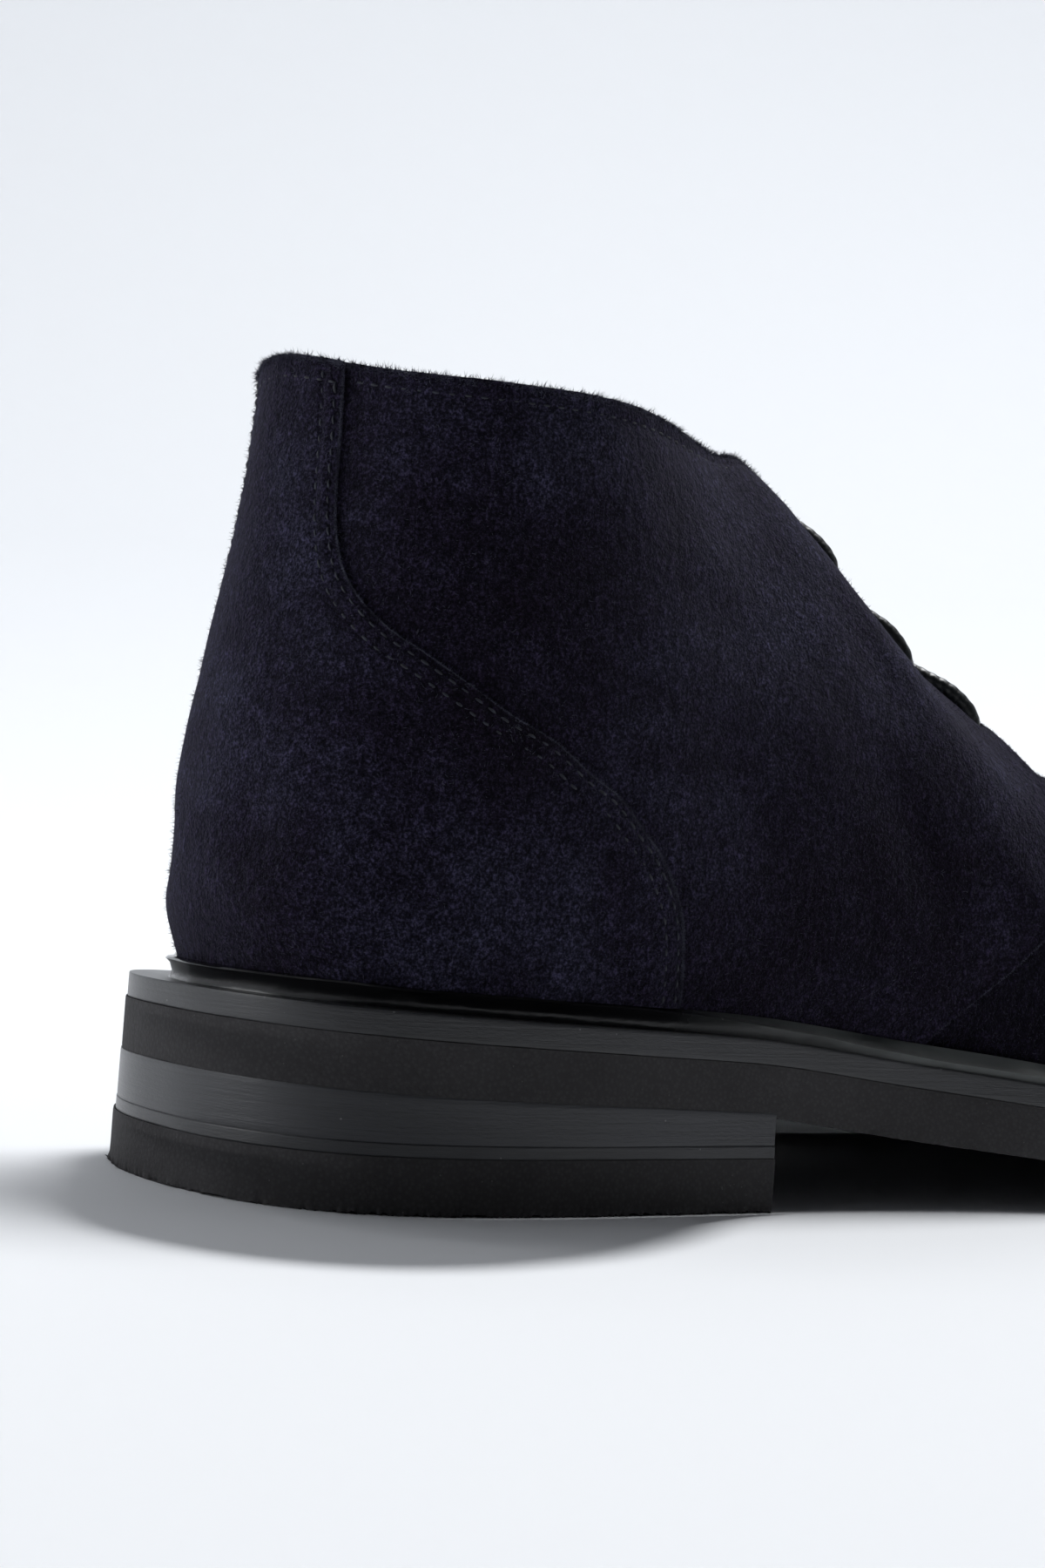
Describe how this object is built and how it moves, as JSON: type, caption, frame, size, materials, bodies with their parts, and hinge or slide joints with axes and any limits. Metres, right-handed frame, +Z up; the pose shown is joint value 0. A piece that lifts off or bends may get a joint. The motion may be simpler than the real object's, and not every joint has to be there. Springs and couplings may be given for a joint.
{
  "type": "chukka boot",
  "caption": "Ankle-high suede boot with a separate heel counter and back strip, laced throat, welted layered sole and stacked heel.",
  "frame": {"origin": "centre of the boot's box, on the floor it stands on", "axes": "+Z up, toe toward -Y, heel toward +Y, outer side of the foot toward -X"},
  "size_m": [0.1108, 0.3014, 0.1208],
  "materials": {
    "suede": "matte",
    "lining": "satin",
    "welt": "gloss",
    "midsole": "satin",
    "rubber": "matte",
    "lace": "satin"
  },
  "bodies": {
    "root": {"upper": "suede", "counter": "suede", "tongue": "suede", "insole": "lining", "welt": "welt", "midsole": "midsole", "outsole": "rubber", "heel_lift": "midsole", "heel_lift_thin": "midsole", "heel_top_piece": "rubber", "lace_bar_top": "lace", "lace_bar_middle": "lace", "lace_bar_low": "lace"}
  },
  "joints": []
}
